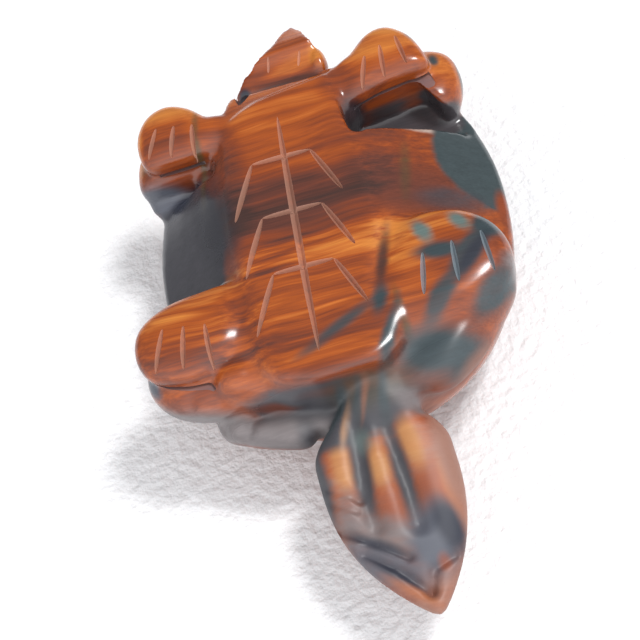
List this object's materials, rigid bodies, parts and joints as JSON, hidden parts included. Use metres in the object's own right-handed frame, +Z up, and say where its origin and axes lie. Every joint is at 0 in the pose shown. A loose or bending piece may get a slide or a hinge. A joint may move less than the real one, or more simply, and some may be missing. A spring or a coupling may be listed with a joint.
{
  "type": "turtle carving",
  "caption": "Polished tiger's eye turtle lying on its domed shell, with a seamed belly plate, feet with toe cuts, a leaf-shaped head and a short faceted tail.",
  "frame": {"origin": "middle of the bounding box at the underside, where the dome rests", "axes": "+Z up, away from the dome and through the belly; +Y towards the tail; -Y towards the head; +X to the right seen from above"},
  "size_m": [0.0382, 0.0656, 0.0175],
  "materials": {
    "tigers_eye": "high polish, with golden and dark blue-grey bands"
  },
  "bodies": {
    "root": {"turtle_carving": "tigers_eye"}
  },
  "joints": []
}
